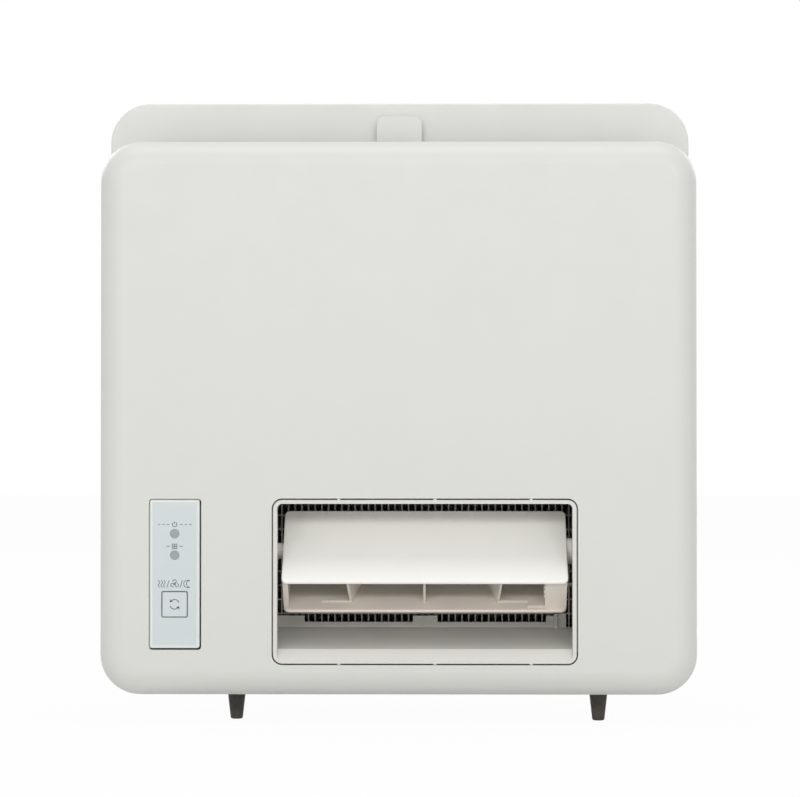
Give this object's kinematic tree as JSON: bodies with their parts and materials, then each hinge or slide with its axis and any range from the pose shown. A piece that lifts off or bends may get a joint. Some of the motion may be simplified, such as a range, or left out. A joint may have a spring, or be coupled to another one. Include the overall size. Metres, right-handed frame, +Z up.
{
  "type": "window-mount fan heater",
  "caption": "window-mount fan heater with a rounded front panel, a tilting air louver, a button strip, a pull-up dust filter and a box that passes through the window",
  "frame": {"origin": "middle of the four window fixing holes, in the plane where the plate lies on the window", "axes": "+Y out through the window, +Z up, +X to the right as seen from the room"},
  "size_m": [0.4, 0.2358, 0.4237],
  "materials": {
    "panel_plastic": "fine satin grain",
    "plate_plastic": "fine satin grain",
    "bezel_plastic": "fine satin grain",
    "louver_plastic": "smooth satin",
    "fascia_plastic": "printed overlay",
    "button_plastic": "smooth",
    "lamp_plastic": "smoked",
    "filter_plastic": "fine satin grain",
    "filter_mesh": "woven net",
    "guard_metal": "grey coat",
    "foot_rubber": "matt",
    "gasket_rubber": "closed cell foam",
    "casing_metal": "powder coat",
    "hub_plastic": "moulded",
    "dark_plastic": "moulded",
    "board_plastic": "solder mask",
    "heater_metal": "dark coat",
    "fixing_steel": "plated",
    "motor_metal": "drawn can"
  },
  "bodies": {
    "housing": {"back_plate": "plate_plastic", "board_cover": "plate_plastic", "board_parts": "dark_plastic", "casing": "casing_metal", "casing_screws": "fixing_steel", "control_board": "board_plastic", "control_fascia": "fascia_plastic", "control_lead": "dark_plastic", "control_screws": "fixing_steel", "cord_grommet": "foot_rubber", "duct_screws": "fixing_steel", "fan_motor": "motor_metal", "filter_guides": "plate_plastic", "foot_left": "foot_rubber", "foot_right": "foot_rubber", "front_panel": "panel_plastic", "grille_screws": "fixing_steel", "heater_bars": "heater_metal", "heater_fins": "heater_metal", "heater_frame": "dark_plastic", "inlet_ring": "dark_plastic", "lamp_leds": "lamp_plastic", "lamp_lenses": "lamp_plastic", "louver_motor": "motor_metal", "louver_motor_screws": "fixing_steel", "motor_screws": "fixing_steel", "outlet_duct": "bezel_plastic", "outlet_guard": "guard_metal", "panel_screws": "fixing_steel", "plate_rim": "plate_plastic", "plenum_shelf": "casing_metal", "power_board": "board_plastic", "rear_grille": "casing_metal", "rear_panel": "casing_metal", "scroll_housing": "dark_plastic", "shutter_frame": "casing_metal", "shutter_motor": "motor_metal", "shutter_pin": "fixing_steel", "tact_switch": "dark_plastic", "terminal_block": "dark_plastic", "thermal_fuse": "motor_metal", "thermostat": "motor_metal", "window_gasket": "gasket_rubber"},
    "louver": {"louver_flap": "louver_plastic", "louver_tray": "louver_plastic", "louver_pivot_pin": "hub_plastic", "louver_drive_hub": "hub_plastic", "louver_motor_shaft": "fixing_steel"},
    "button": {"mode_button": "button_plastic", "switch_plunger": "button_plastic"},
    "filter": {"filter_frame": "filter_plastic", "filter_net": "filter_mesh"},
    "fan": {"fan_wheel": "dark_plastic", "fan_shaft": "fixing_steel", "fan_nut": "fixing_steel"},
    "shutter": {"exhaust_shutter": "casing_metal", "shutter_motor_shaft": "fixing_steel"}
  },
  "joints": [
    {"name": "louver_tilt", "type": "hinge", "parent": "housing", "child": "louver", "pos_m": [0.0178, -0.046, -0.07024], "axis": [1, 0, 0], "range_deg": [-30, 45]},
    {"name": "mode_button_press", "type": "slide", "parent": "housing", "child": "button", "axis": [0, 1, 0], "range_m": [0, 0.0008], "stiffness_N_per_m": 1500, "springref_m": -0.0004},
    {"name": "filter_slide", "type": "slide", "parent": "housing", "child": "filter", "axis": [0, 0, 1], "range_m": [0, 0.2]},
    {"name": "fan_spin", "type": "hinge", "parent": "housing", "child": "fan", "pos_m": [0.0298, 0.075, 0.038], "axis": [0, 1, 0], "continuous": true},
    {"name": "shutter_swing", "type": "hinge", "parent": "housing", "child": "shutter", "pos_m": [0, 0.129, -0.049], "axis": [-1, 0, 0], "range_deg": [0, 85]}
  ]
}
